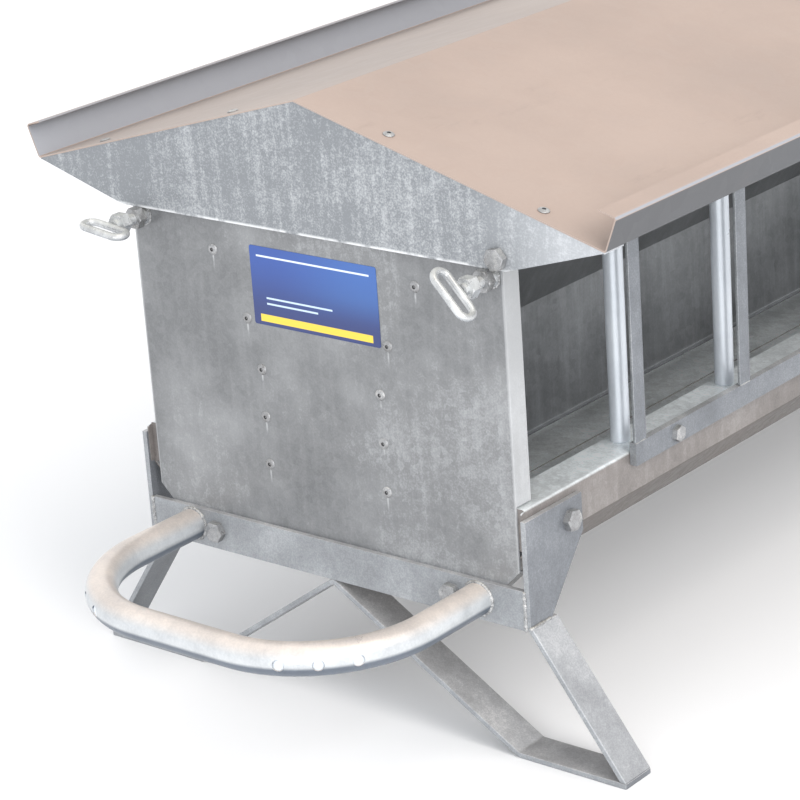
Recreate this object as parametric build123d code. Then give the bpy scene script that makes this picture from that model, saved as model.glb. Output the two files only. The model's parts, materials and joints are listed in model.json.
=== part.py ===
from build123d import *
import math
import os

# Trough feeder with a hopper, sliding feeding combs and a lifting roof.
# The long axis is Y, the floor is z = 0, and all sizes are in millimetres.

# overall
body_length = 1615.0
bar_pitch = 160.0
bar_count = 9
sheet = 1.5
roof_sheet_thickness = 1.2
flat_bar = 5.0
flat_width = 35.0
gap = 0.3
bend = 1.5

# end panels and label
panel_half = 200.0
panel_bottom = 122.5
panel_corner_drop = 45.0
panel_flange_depth = 20.0
ear_half = 228.0
ear_bottom = 427.0
ear_step = 8.0
ear_swing_radius = 44.0
label_width = 137.5
label_height = 69.4
label_centre_x = 1.25
label_centre_z = 372.8
label_thickness = 0.4

# roof
ridge_z = 540.1
roof_half = 303.4
roof_slope = 15.5
roof_overhang = 6.0
eave_upstand = 29.3
eave_lean = 21.2
eave_return = 15.4
gable_front = 5.4
gable_bottom = 425.5
gable_bottom_half = 207.0
gable_flange_reach = 20.0
ridge_clearance = 1.0
hinge_x = 200.0
hinge_z = 435.5
roof_rivet_places = [(83.0, 12.0), (235.0, 10.0)]

# hopper
hopper_half = 73.0
hopper_bottom = 203.5
hopper_bend_z = 318.5
hopper_top = 470.5
hopper_flare = 30.4
hopper_end_flange = 16.0
hopper_top_return = 12.0
hopper_bottom_return = 4.0
tie_strap_y = 265.0
tie_strap_height = 30.0
tie_strap_thickness = 3.0

# trough
trough_half = 207.0
rim_z = 222.5
lip_width = 39.0
lip_hem = 8.0
skirt_bottom = 185.5
trough_bottom = 145.5
wall_nose = 3.0
nose_radius = 2.8
end_flange_half = 150.0
wall_flange_width = 17.0
deflector_half = 45.0
deflector_rise = 2.2
deflector_thickness = 1.2

# upright bars, guide rails and combs
upright_x = 184.5
upright_radius = 8.6
guide_inner = 174.0
guide_outer = 207.0
guide_top = 440.5
guide_leg = 30.0
guide_thickness = 3.0
guide_end_notch = 148.0
guide_end_outer = 189.0
guide_tab_bottom = 403.0
guide_tab_outer = 198.0
comb_inner = 207.4
comb_middle = 210.0
comb_outer = 214.0
comb_bar_inner = 211.0
comb_bar_width = 16.0
comb_bar_offset = -11.2
comb_top = 443.5
comb_upper_height = 30.0
comb_rail_bottom = 211.0
comb_rail_height = 20.0
comb_travel = 60.0
lock_bolt_offset = 52.0

# crossbars, brackets, legs and handles
crossbar_bottom = 118.5
crossbar_bolt_x = 131.0
crossbar_bolt_z = 136.0
bracket_top = 215.0
bracket_reach = 72.0
bracket_shoulder_z = 181.5
bracket_foot_z = 122.0
bracket_foot_reach = 24.5
bracket_bolt = (54.5, 196.8)
right_foot = (192.0, 300.0)
left_foot = (167.0, 278.0)
right_strut_top = 213.2
left_strut_top = 199.0
leg_bend = [6.0, 2.0, 6.0]
handle_half = 159.0
handle_reach = 186.7
handle_bend = 110.0
handle_z = 137.2
handle_radius = 14.0
handle_wall = 2.5
plug_radius = 5.0
plug_angles = (35.0, 50.0, 65.0)

# hand screws
screw_x = 188.0
screw_z = 416.8
screw_radius = 5.0
boss_radius = 8.0
boss_length = 6.0
screw_inside = 16.0
screw_head_front = 24.0
screw_head_length = 10.0
ring_centre = 48.0
ring_half_length = 22.25
ring_half_width = 7.75
ring_wire = 3.25
ring_angle_right = -47.0
ring_angle_left = -7.0

# fasteners: radius, width across flats, head height, nut height
m10 = {"radius": 5.0, "flats": 17.0, "head": 6.4, "nut": 8.0}
m8 = {"radius": 4.0, "flats": 13.0, "head": 5.3, "nut": 6.5}
run = 0.05
rivet_radius = 2.4
rivet_head_radius = 5.0
rivet_head_height = 1.6
rivet_tail_length = 4.0
head_chamfer = 0.9
crossbar_bolt_length = 20.0
bracket_bolt_length = 18.0
hinge_bolt_length = 20.0
guide_bolt_length = 16.0
spacer_radius = 9.0
slot_margin = 1.0

near_y = -body_length / 2
slope = math.tan(math.radians(roof_slope))
slope_cos = math.cos(math.radians(roof_slope))
slope_sin = math.sin(math.radians(roof_slope))
flare = math.tan(math.radians(hopper_flare))
upright_places = [bar_pitch * (i - (bar_count - 1) / 2) for i in range(bar_count)]
comb_places = [y + comb_bar_offset for y in upright_places]
comb_start = comb_places[0] - comb_bar_width / 2
comb_end = comb_places[-1] + comb_bar_width / 2


def block(x0, x1, y0, y1, z0, z1):
    """A box between two corners."""
    centre = Location(((x0 + x1) / 2, (y0 + y1) / 2, (z0 + z1) / 2))
    return centre * Box(abs(x1 - x0), abs(y1 - y0), abs(z1 - z0))


def along_y(face, y0, y1):
    """Pull a section drawn in X and Z along Y."""
    return Pos(0, y0, 0) * extrude(Plane.XZ * face, amount=y0 - y1)


def outline(points):
    """A flat face from corner points."""
    return make_face(Polyline(*points, close=True))


def turns(points):
    """How far the path turns at each inner point, in radians, positive to the left."""
    angles = [math.atan2(b[1] - a[1], b[0] - a[0]) for a, b in zip(points, points[1:])]
    return [math.remainder(b - a, math.tau) for a, b in zip(angles, angles[1:])]


def beside(points, distance):
    """The same path moved sideways, with its corners kept sharp; positive is to the left."""
    angles = [math.atan2(b[1] - a[1], b[0] - a[0]) for a, b in zip(points, points[1:])]
    bends = [0.0] + turns(points) + [0.0]
    moved = []
    for i, (x, z) in enumerate(points):
        before = angles[max(i - 1, 0)]
        normal = before + bends[i] / 2 + math.pi / 2
        reach = distance / math.cos(bends[i] / 2)
        moved.append((x + reach * math.cos(normal), z + reach * math.sin(normal)))
    return moved


def folded(points, thickness, inner_radii):
    """The section of a folded sheet that lies to the left of the points, or the right if negative."""
    depth = abs(thickness)
    path_radii = []
    other_radii = []
    for turn, radius in zip(turns(points), inner_radii):
        inside = turn * thickness > 0
        path_radii.append(radius + depth if inside else radius)
        other_radii.append(radius if inside else radius + depth)
    other = beside(points, thickness)
    path = FilletPolyline(*points, radius=path_radii) if len(points) > 2 else Line(*points)
    inner = FilletPolyline(*other, radius=other_radii) if len(points) > 2 else Line(*other)
    return make_face([path, Line(points[-1], other[-1]), inner, Line(other[0], points[0])])


def both_ends(part):
    """The near part and its mirror image at the far end."""
    return [part, mirror(part, about=Plane.XZ)]


def both_sides(part):
    """The right part and its mirror image on the left."""
    return [part, mirror(part, about=Plane.YZ)]


def four_corners(part):
    """A near right part and its three mirror images."""
    return [image for end in both_ends(part) for image in both_sides(end)]


def seat(x, y, z, direction):
    """A place for a fastener whose head stands out along a direction."""
    side = (1, 0, 0) if abs(direction[0]) < 0.5 else (0, 1, 0)
    return Plane(origin=(x, y, z), x_dir=side, z_dir=direction).location


def hexagon(size, height):
    """A hexagonal block with chamfered top corners, standing on z = 0."""
    body = extrude(RegularPolygon(size["flats"] / 2, 6, major_radius=False), amount=height)
    corner = size["flats"] / 2 / math.cos(math.radians(30))
    turned = Pos(0, 0, height / 2) * Cylinder(corner, height)
    turned = chamfer(turned.edges().sort_by(Axis.Z)[-1], head_chamfer)
    return body & turned


def hex_bolt(size, length):
    """A bolt with its head above z = 0 and its shank below."""
    shank = Pos(0, 0, -length / 2) * Cylinder(size["radius"], length)
    return hexagon(size, size["head"]) + shank


def hex_nut(size, clearance=0.0):
    """A nut standing on z = 0."""
    bore = Pos(0, 0, size["nut"] / 2) * Cylinder(size["radius"] + clearance, size["nut"] + 2)
    return hexagon(size, size["nut"]) - bore


def blind_rivet(grip):
    """A blind rivet with its domed head above z = 0 and its set end below the grip."""
    head = Pos(0, 0, rivet_head_height / 2) * Cylinder(rivet_head_radius, rivet_head_height)
    head = fillet(head.edges().sort_by(Axis.Z)[-1], rivet_head_height * 0.8)
    shank = Pos(0, 0, -grip / 2) * Cylinder(rivet_radius, grip)
    tail = Pos(0, 0, -grip - rivet_tail_length / 2) * Cylinder(rivet_radius * 1.4, rivet_tail_length)
    tail = fillet(tail.edges().sort_by(Axis.Z)[0], 1.2)
    return head + shank + tail


def bore_y(x, z, radius, y0, y1):
    """A drill along Y."""
    return Pos(x, (y0 + y1) / 2, z) * Rot(90, 0, 0) * Cylinder(radius, abs(y1 - y0))


def bore_x(y, z, radius, x0, x1):
    """A drill along X."""
    return Pos((x0 + x1) / 2, y, z) * Rot(0, 90, 0) * Cylinder(radius, abs(x1 - x0))


# Trough pan: lips, upright walls, slanted walls and floor, folded from one sheet.
def trough_pan():
    slant = skirt_bottom - trough_bottom
    right = [
        (trough_half - lip_width, rim_z - lip_hem),
        (trough_half - lip_width, rim_z),
        (trough_half, rim_z),
        (trough_half, skirt_bottom),
        (trough_half - slant, trough_bottom),
    ]
    left = [(-x, z) for x, z in reversed(right)]
    section = folded(right + left, -sheet, [bend] * 8)
    pan = along_y(section, near_y + sheet, -near_y - sheet)
    flange = block(-end_flange_half, end_flange_half, near_y + sheet, near_y + 2 * sheet,
                   panel_bottom, trough_bottom + sheet)
    nose = block(trough_half - sheet, trough_half, near_y - wall_nose, near_y + sheet,
                 skirt_bottom + bend, rim_z - bend)
    nose = fillet(nose.edges().filter_by(Axis.X).group_by(Axis.Y)[0].sort_by(Axis.Z)[-1], nose_radius)
    wall_flange = block(trough_half - wall_flange_width, trough_half - sheet, near_y + sheet, near_y + 2 * sheet,
                        skirt_bottom, rim_z - sheet)
    for part in both_ends(flange) + four_corners(nose) + four_corners(wall_flange):
        pan = pan + part
    for side in (-1, 1):
        for end in (-1, 1):
            pan = pan - bore_x(-end * near_y - end * bracket_bolt[0], bracket_bolt[1], m10["radius"],
                               side * (trough_half - 4), side * (trough_half + 2))
            pan = pan - bore_y(side * crossbar_bolt_x, crossbar_bolt_z, m10["radius"],
                               -end * near_y - end * 5, -end * near_y + end * 2)
    return pan


# End panel: a flat plate with folded edges, and ears behind the gable plate.
def end_panel():
    top = ridge_z - (roof_sheet_thickness + sheet) / slope_cos - gap
    corner = panel_bottom + panel_corner_drop
    right = [
        (panel_half - panel_corner_drop, panel_bottom),
        (panel_half, corner),
        (panel_half, ear_bottom),
        (ear_half, ear_bottom + ear_step),
        (ear_half, top - ear_half * slope),
        (0, top),
    ]
    left = [(-x, z) for x, z in reversed(right[:-1])]
    panel = along_y(outline(right + left), near_y, near_y + sheet)
    ear_corner = block(hinge_x, ear_half + 1, near_y, near_y + sheet, hinge_z, ridge_z)
    panel = panel - (ear_corner - bore_y(hinge_x, hinge_z, ear_swing_radius, near_y, near_y + sheet))
    back = near_y + panel_flange_depth
    side = block(panel_half - sheet, panel_half, near_y, back, rim_z + sheet, ear_bottom - 2)
    turn = sheet * math.sqrt(2)
    low = outline([
        (panel_half - panel_corner_drop, panel_bottom),
        (panel_half, corner),
        (panel_half - turn, corner),
        (panel_half - panel_corner_drop - turn, panel_bottom),
    ])
    low_flange = along_y(low, near_y, back)
    for part in both_sides(side) + both_sides(low_flange):
        panel = panel + part
    for x, z in hopper_rivet_places():
        panel = panel - bore_y(x, z, rivet_radius, near_y - 1, near_y + 4)
    for side_sign in (-1, 1):
        panel = panel - bore_y(side_sign * crossbar_bolt_x, crossbar_bolt_z, m10["radius"],
                               near_y - 1, near_y + 4)
        panel = panel - bore_y(side_sign * screw_x, screw_z, screw_radius + run, near_y - 1, near_y + 4)
    panel = panel - bore_y(hinge_x, hinge_z, m10["radius"], near_y - 1, near_y + 4)
    return panel


def label_plate():
    half = label_width / 2
    return block(label_centre_x - half, label_centre_x + half, near_y - label_thickness, near_y,
                 label_centre_z - label_height / 2, label_centre_z + label_height / 2)


# Hopper walls: upright below, flared above, with flanges riveted to the end panels.
def hopper_rivet_places():
    inset = hopper_end_flange / 2
    upright = [(hopper_half - inset, z) for z in (210.2, 253.5, 296.5)]
    tilt = math.radians(hopper_flare)
    flared = []
    for z in (340.8, 397.0):
        x = hopper_half + (z - hopper_bend_z) * flare - inset / math.cos(tilt)
        flared.append((x, z))
    right = upright + flared
    return right + [(-x, z) for x, z in right]


def hopper_wall_right():
    top_x = hopper_half + (hopper_top - hopper_bend_z) * flare
    points = [
        (hopper_half + hopper_bottom_return, hopper_bottom),
        (hopper_half, hopper_bottom),
        (hopper_half, hopper_bend_z),
        (top_x, hopper_top),
        (top_x + hopper_top_return, hopper_top),
    ]
    wall = along_y(folded(points, sheet, [1.0, bend, bend]), near_y + sheet, -near_y - sheet)
    strip = folded(points[1:4], hopper_end_flange, [bend])
    flange = along_y(strip, near_y + sheet, near_y + 2 * sheet)
    for part in both_ends(flange):
        wall = wall + part
    for x, z in hopper_rivet_places():
        if x > 0:
            wall = wall - bore_y(x, z, rivet_radius, near_y, near_y + 4)
            wall = wall - bore_y(x, z, rivet_radius, -near_y - 4, -near_y)
    return wall


def hopper_tie_strap():
    inner = hopper_half - sheet / math.cos(math.radians(hopper_flare))
    low = hopper_top - sheet - tie_strap_height
    high = hopper_top - sheet
    low_x = inner + (low - hopper_bend_z) * flare
    high_x = inner + (high - hopper_bend_z) * flare
    section = outline([(-low_x, low), (low_x, low), (high_x, high), (-high_x, high)])
    return along_y(section, -tie_strap_y, -tie_strap_y + tie_strap_thickness)


def feed_deflector():
    floor = trough_bottom + sheet + deflector_thickness
    points = [(-deflector_half, floor), (0, floor + deflector_rise), (deflector_half, floor)]
    section = folded(points, -deflector_thickness, [bend])
    return along_y(section, near_y + 2 * sheet, -near_y - 2 * sheet)


# Roof: one sheet bent along the ridge, with a gutter along both eaves.
def roof_sheet():
    lean = math.radians(eave_lean)
    eave_z = ridge_z - roof_half * slope
    corner = (roof_half + eave_upstand * math.sin(lean), eave_z + eave_upstand * math.cos(lean))
    tip = (corner[0] - eave_return * slope_cos, corner[1] + eave_return * slope_sin)
    right = [tip, corner, (roof_half, eave_z)]
    points = right + [(0, ridge_z)] + [(-x, z) for x, z in reversed(right)]
    section = folded(points, roof_sheet_thickness, [bend] * 5)
    sheet_part = along_y(section, near_y - roof_overhang, -near_y + roof_overhang)
    for place in roof_rivet_seats():
        sheet_part = sheet_part - place * Cylinder(rivet_radius, 8)
    return sheet_part


def gable_plate():
    top = ridge_z - roof_sheet_thickness / slope_cos - 0.02
    front = near_y - gable_front
    end_z = top - roof_half * slope
    right = [
        (gable_bottom_half, gable_bottom),
        (roof_half - 1, end_z - 0.5),
        (roof_half - 1, end_z + slope),
        (ridge_clearance, top - ridge_clearance * slope),
    ]
    left = [(-x, z) for x, z in reversed(right)]
    plate = along_y(outline(right + left), front, front + sheet)
    drop = sheet / slope_cos
    flange = outline([
        (ridge_clearance, top - ridge_clearance * slope),
        (ridge_clearance, top - drop - ridge_clearance * slope),
        (roof_half - 1, end_z + slope - drop),
        (roof_half - 1, end_z + slope),
    ])
    strip = along_y(flange, front, near_y + gable_flange_reach)
    for part in both_sides(strip):
        plate = plate + part
    plate = plate - bore_y(hinge_x, hinge_z, m10["radius"] + run, front - 1, front + 4)
    for place in roof_rivet_seats():
        plate = plate - place * Cylinder(rivet_radius, 12)
    return plate


def roof_rivet_seats():
    """Places on the roof's upper surface, facing straight out of it."""
    seats = []
    for x, reach in roof_rivet_places:
        for side in (-1, 1):
            for end in (-1, 1):
                origin = (side * x, end * (near_y + reach), ridge_z - x * slope)
                normal = (side * slope_sin, 0, slope_cos)
                seats.append(Plane(origin=origin, x_dir=(0, 1, 0), z_dir=normal).location)
    return seats


# Guide rail: an angle under the eave, which ties the upright bars together.
def guide_rail_right():
    low = guide_top - guide_leg
    section = outline([
        (guide_inner, guide_top),
        (guide_outer, guide_top),
        (guide_outer, low),
        (guide_outer - guide_thickness, low),
        (guide_outer - guide_thickness, guide_top - guide_thickness),
        (guide_inner, guide_top - guide_thickness),
    ])
    rail = along_y(section, near_y + sheet, -near_y - sheet)
    notch = block(guide_end_outer, guide_outer + 1, near_y, near_y + guide_end_notch, low - 1, guide_top + 1)
    tab = block(guide_inner, guide_end_outer, near_y + sheet, near_y + sheet + flat_bar,
                guide_tab_bottom, guide_top - guide_thickness)
    tab = tab + block(guide_inner, guide_tab_outer, near_y + sheet, near_y + sheet + flat_bar,
                      guide_tab_bottom, gable_bottom - 1)
    tab = tab - bore_y(screw_x, screw_z, screw_radius + run, near_y, near_y + 10)
    for part in both_ends(notch):
        rail = rail - part
    for part in both_ends(tab):
        rail = rail + part
    middle = comb_top - comb_upper_height / 2
    slot_radius = m8["radius"] + 0.5
    inside = guide_outer - guide_thickness - 1
    outside = guide_outer + 1
    for y in guide_bolt_places():
        start = y - slot_margin
        end = y + comb_travel + slot_margin
        cut = block(inside, outside, start, end, middle - slot_radius, middle + slot_radius)
        for slot_end in (start, end):
            cut = cut + bore_x(slot_end, middle, slot_radius, inside, outside)
        rail = rail - cut
    return rail


def upright_bar(y):
    height = guide_top - guide_thickness - rim_z
    bar = Pos(upright_x, y, rim_z + height / 2) * Cylinder(upright_radius, height)
    return chamfer(bar.edges().sort_by(Axis.Z)[0], 1.0)


# Sliding comb: flat bars between a lower rail and an upper rail.
def guide_bolt_places():
    half = bar_pitch / 2
    return [comb_places[i] + half for i in (0, 2, 5, 7)]


def lock_bolt_places():
    middle = comb_places[bar_count // 2]
    return [comb_places[0] + lock_bolt_offset, middle + lock_bolt_offset, comb_places[-1] - lock_bolt_offset]


def comb_bar(y):
    half = comb_bar_width / 2
    return block(comb_bar_inner, comb_outer, y - half, y + half, comb_rail_bottom + comb_rail_height, comb_top)


def comb_strip(x0, x1, low, high, bolt_places):
    strip = block(x0, x1, comb_start, comb_end, low, high)
    for y in bolt_places:
        strip = strip - bore_x(y, (low + high) / 2, m8["radius"], x0 - 1, x1 + 1)
    return strip


def comb_lock_bolts():
    z = comb_rail_bottom + comb_rail_height / 2
    length = comb_outer - comb_inner - 0.2
    return [seat(comb_outer, y, z, (1, 0, 0)) * hex_bolt(m8, length) for y in lock_bolt_places()]


def comb_guide_bolts():
    z = comb_top - comb_upper_height / 2
    return [seat(comb_middle, y, z, (1, 0, 0)) * hex_bolt(m8, guide_bolt_length) for y in guide_bolt_places()]


def comb_guide_nuts():
    z = comb_top - comb_upper_height / 2
    x = guide_outer - guide_thickness - gap
    return [seat(x, y, z, (-1, 0, 0)) * hex_nut(m8) for y in guide_bolt_places()]


# End frame: crossbar, side brackets, legs and handle.
def crossbar():
    bar = block(-trough_half, trough_half, near_y - flat_bar, near_y, crossbar_bottom,
                crossbar_bottom + flat_width)
    for side in (-1, 1):
        bar = bar - bore_y(side * crossbar_bolt_x, crossbar_bolt_z, m10["radius"], near_y - 7, near_y + 2)
    return bar


def side_bracket():
    points = [
        (near_y - flat_bar, bracket_foot_z),
        (near_y + bracket_foot_reach, bracket_foot_z),
        (near_y + bracket_reach, bracket_shoulder_z),
        (near_y + bracket_reach, bracket_top),
        (near_y - flat_bar, bracket_top),
    ]
    plate = extrude(Plane.YZ * outline(points), amount=flat_bar)
    plate = Pos(trough_half, 0, 0) * plate
    return plate - bore_x(near_y + bracket_bolt[0], bracket_bolt[1], m10["radius"],
                          trough_half - 2, trough_half + flat_bar + 2)


def leg_bar():
    right_angle = math.atan2(crossbar_bottom - flat_bar, right_foot[0])
    left_angle = math.atan2(crossbar_bottom - flat_bar, left_foot[0])
    both = (math.sin(right_angle) + math.sin(left_angle)) / math.sin(right_angle + left_angle)
    apex_rise = (leg_bend[1] + flat_bar) * (both - 1)
    points = [
        (right_foot[1], flat_bar),
        (right_foot[0], flat_bar),
        (0, crossbar_bottom + apex_rise),
        (-left_foot[0], flat_bar),
        (-left_foot[1], flat_bar),
    ]
    section = folded(points, flat_bar, leg_bend)
    return along_y(section, near_y - flat_bar, near_y - flat_bar + flat_width)


def outer_strut(side, top_x, top_z, foot_x):
    """A strut from a foot's outer end up to the frame, with its upper outer corner at top_x."""
    run_x = foot_x - top_x
    run_z = top_z - flat_bar
    width = flat_bar * math.hypot(run_x, run_z) / run_z
    section = outline([
        (side * (top_x - width), top_z),
        (side * top_x, top_z),
        (side * foot_x, flat_bar),
        (side * (foot_x - width), flat_bar),
    ])
    return along_y(section, near_y - flat_bar, near_y - flat_bar + flat_width)


def outer_struts():
    right = outer_strut(1, right_strut_top, bracket_foot_z, right_foot[1])
    left = outer_strut(-1, left_strut_top, crossbar_bottom, left_foot[1])
    return [right, left]


def handle():
    start = near_y - flat_bar
    front = near_y - handle_reach
    corners = [
        (-handle_half, start, handle_z),
        (-handle_half, front, handle_z),
        (handle_half, front, handle_z),
        (handle_half, start, handle_z),
    ]
    path = FilletPolyline(*corners, radius=handle_bend)
    end = Plane(origin=corners[0], x_dir=(1, 0, 0), z_dir=(0, -1, 0))
    ring = Circle(handle_radius) - Circle(handle_radius - handle_wall)
    tube = sweep(end * ring, path=path)
    for place in plug_seats():
        tube = tube - place * Pos(0, 0, -handle_wall) * Cylinder(plug_radius, 6)
    return tube


def plug_seats():
    """Places on the outer side of both handle bends, facing out of the bend."""
    centre_y = near_y - handle_reach + handle_bend
    seats = []
    for side in (-1, 1):
        for angle in plug_angles:
            turn = math.radians(angle)
            normal = (side * math.cos(turn), -math.sin(turn), 0)
            reach = handle_bend + handle_radius
            origin = (side * (handle_half - handle_bend) + normal[0] * reach,
                      centre_y + normal[1] * reach, handle_z)
            seats.append(Plane(origin=origin, x_dir=(0, 0, 1), z_dir=normal).location)
    return seats


def handle_plug(place):
    """A plug pressed into the wall, trimmed to the tube's outer surface."""
    plug = place * Pos(0, 0, -handle_wall / 2 - 0.5) * Cylinder(plug_radius, handle_wall + 1)
    centre_y = near_y - handle_reach + handle_bend
    side = 1 if place.position.X > 0 else -1
    bend_place = Pos(side * (handle_half - handle_bend), centre_y, handle_z)
    return plug & bend_place * Torus(handle_bend, handle_radius)


# Hand screw with a ring, a weld boss and a lock nut.
def hand_screw():
    shank_length = screw_inside + screw_head_front
    shank = Pos(0, 0, shank_length / 2) * Cylinder(screw_radius, shank_length)
    head = Pos(0, 0, shank_length) * hexagon(m10, screw_head_length)
    neck_start = shank_length + screw_head_length
    neck_length = ring_centre - ring_half_width - ring_wire - screw_head_front - screw_head_length
    neck = Pos(0, 0, neck_start + neck_length / 2) * Cylinder(screw_radius, neck_length)
    return seat(screw_x, near_y + screw_inside, screw_z, (0, -1, 0)) * (shank + head + neck)


def screw_ring(side, angle):
    """A closed ring of round wire whose plane holds the screw's axis."""
    turn = math.radians(angle)
    long_axis = (math.cos(turn), 0, math.sin(turn))
    plane = Plane(origin=(side * screw_x, near_y - ring_centre, screw_z), x_dir=long_axis,
                  z_dir=Vector(long_axis).cross(Vector(0, 1, 0)))
    straight = ring_half_length - ring_half_width
    sides = [Pos(0, y, 0) * Rot(0, 90, 0) * Cylinder(ring_wire, 2 * straight)
             for y in (-ring_half_width, ring_half_width)]
    round_end = Torus(ring_half_width, ring_wire) & Pos(20, 0, 0) * Box(40, 40, 20)
    ends = [Pos(straight, 0, 0) * round_end, Pos(-straight, 0, 0) * Rot(0, 0, 180) * round_end]
    ring = sides[0] + sides[1] + ends[0] + ends[1]
    return plane.location * ring


def weld_boss():
    boss = bore_y(screw_x, screw_z, boss_radius, near_y - boss_length, near_y)
    return boss - bore_y(screw_x, screw_z, screw_radius + run, near_y - boss_length - 1, near_y + 1)


def screw_lock_nut():
    return seat(screw_x, near_y - boss_length, screw_z, (0, -1, 0)) * hex_nut(m10, run)


# Bolts, nuts and rivets of the frame.
def frame_bolts():
    across = seat(crossbar_bolt_x, near_y - flat_bar, crossbar_bolt_z, (0, -1, 0))
    side = seat(trough_half + flat_bar, near_y + bracket_bolt[0], bracket_bolt[1], (1, 0, 0))
    crossbar_bolt = across * hex_bolt(m10, crossbar_bolt_length)
    return four_corners(crossbar_bolt) + four_corners(side * hex_bolt(m10, bracket_bolt_length))


def hinge_bolts():
    place = seat(hinge_x, near_y - gable_front - gap, hinge_z, (0, -1, 0))
    return both_ends(place * hex_bolt(m10, hinge_bolt_length))


def hinge_spacers():
    ring = bore_y(hinge_x, hinge_z, spacer_radius, near_y - gable_front + sheet + gap, near_y)
    return both_ends(ring - bore_y(hinge_x, hinge_z, m10["radius"], near_y - 5, near_y + 1))


def frame_nuts():
    across = seat(crossbar_bolt_x, near_y + 2 * sheet, crossbar_bolt_z, (0, 1, 0)) * hex_nut(m10)
    side = seat(trough_half - sheet, near_y + bracket_bolt[0], bracket_bolt[1], (-1, 0, 0))
    hinge = seat(hinge_x, near_y + sheet, hinge_z, (0, 1, 0)) * hex_nut(m10)
    return four_corners(across) + four_corners(side * hex_nut(m10)) + both_ends(hinge)


def panel_rivets():
    rivets = []
    for x, z in hopper_rivet_places():
        rivets += both_ends(seat(x, near_y, z, (0, -1, 0)) * blind_rivet(2 * sheet))
    return rivets


def roof_rivets():
    grip = roof_sheet_thickness + sheet + 0.02
    return [place * blind_rivet(grip) for place in roof_rivet_seats()]


nodes = {
    "trough_pan": [trough_pan()],
    "feed_deflector": [feed_deflector()],
    "hopper_tie_straps": both_ends(hopper_tie_strap()),
    "label_plate": [label_plate()],
    "roof_sheet": [roof_sheet()],
    "roof_rivets": roof_rivets(),
    "panel_rivets": panel_rivets(),
    "frame_bolts": frame_bolts(),
    "frame_nuts": frame_nuts(),
    "hinge_bolts": hinge_bolts(),
    "hinge_spacers": hinge_spacers(),
    "weld_bosses": four_corners(weld_boss()),
    "screw_lock_nuts": four_corners(screw_lock_nut()),
    "handle_plugs": [image for place in plug_seats() for image in both_ends(handle_plug(place))],
}

end_parts = {
    "end_panel": [end_panel()],
    "gable_plate": [gable_plate()],
    "crossbar": [crossbar()],
    "leg_bar": [leg_bar()],
    "outer_struts": outer_struts(),
    "handle": [handle()],
}
for name, solids in end_parts.items():
    nodes[name + "_near"] = solids
    nodes[name + "_far"] = [mirror(solid, about=Plane.XZ) for solid in solids]

lock_low = comb_rail_bottom
lock_high = comb_rail_bottom + comb_rail_height
upper_low = comb_top - comb_upper_height
side_parts = {
    "hopper_wall": [hopper_wall_right()],
    "guide_rail": [guide_rail_right()],
    "upright_bars": [upright_bar(y) for y in upright_places],
    "comb_bars": [comb_bar(y) for y in comb_places],
    "comb_lower_rail": [comb_strip(comb_middle, comb_outer, lock_low, lock_high, lock_bolt_places())],
    "comb_backing_strip": [comb_strip(comb_inner, comb_middle, lock_low, lock_high, lock_bolt_places())],
    "comb_upper_rail": [comb_strip(comb_inner, comb_middle, upper_low, comb_top, guide_bolt_places())],
    "comb_lock_bolts": comb_lock_bolts(),
    "comb_guide_bolts": comb_guide_bolts(),
    "comb_guide_nuts": comb_guide_nuts(),
}
for name, solids in side_parts.items():
    nodes[name + "_right"] = solids
    nodes[name + "_left"] = [mirror(solid, about=Plane.YZ) for solid in solids]

bracket = side_bracket()
screw = hand_screw()
for end_name, end_plane in (("near", None), ("far", Plane.XZ)):
    for side_name, side_sign, angle in (("right", 1, ring_angle_right), ("left", -1, ring_angle_left)):
        parts = {"side_bracket": bracket, "hand_screw": screw}
        if side_sign < 0:
            parts = {name: mirror(part, about=Plane.YZ) for name, part in parts.items()}
        parts["screw_ring"] = screw_ring(side_sign, angle)
        for name, part in parts.items():
            placed = part if end_plane is None else mirror(part, about=end_plane)
            nodes[f"{name}_{end_name}_{side_name}"] = [placed]

os.makedirs("parts", exist_ok=True)
for name, shapes in nodes.items():
    solids = [solid for shape in shapes for solid in shape.solids()]
    export_step(Compound(children=solids), os.path.join("parts", name + ".step"))
print(len(nodes), "nodes")
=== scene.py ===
import json
import math

import bmesh
import bpy
from mathutils import Matrix, Vector

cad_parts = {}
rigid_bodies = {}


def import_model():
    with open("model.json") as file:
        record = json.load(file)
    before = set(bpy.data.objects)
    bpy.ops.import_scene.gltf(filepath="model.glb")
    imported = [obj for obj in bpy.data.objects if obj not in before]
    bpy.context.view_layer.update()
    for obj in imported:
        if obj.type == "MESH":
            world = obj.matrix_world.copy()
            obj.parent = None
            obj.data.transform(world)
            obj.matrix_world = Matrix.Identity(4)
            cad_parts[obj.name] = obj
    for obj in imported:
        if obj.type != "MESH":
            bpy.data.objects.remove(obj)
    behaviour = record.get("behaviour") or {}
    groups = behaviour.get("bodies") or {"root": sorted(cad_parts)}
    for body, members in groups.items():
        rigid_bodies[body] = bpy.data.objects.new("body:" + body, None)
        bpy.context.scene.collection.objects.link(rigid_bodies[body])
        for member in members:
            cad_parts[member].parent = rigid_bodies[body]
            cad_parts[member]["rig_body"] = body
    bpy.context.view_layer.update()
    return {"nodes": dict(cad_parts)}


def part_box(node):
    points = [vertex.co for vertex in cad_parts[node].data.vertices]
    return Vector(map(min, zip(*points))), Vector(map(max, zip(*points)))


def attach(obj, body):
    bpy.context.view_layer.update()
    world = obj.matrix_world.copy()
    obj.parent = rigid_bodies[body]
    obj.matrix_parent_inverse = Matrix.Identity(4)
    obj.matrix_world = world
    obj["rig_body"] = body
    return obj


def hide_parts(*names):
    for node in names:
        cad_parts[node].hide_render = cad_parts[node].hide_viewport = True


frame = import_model()
nodes = frame["nodes"]
scene = bpy.context.scene
mm = 0.001
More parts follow.
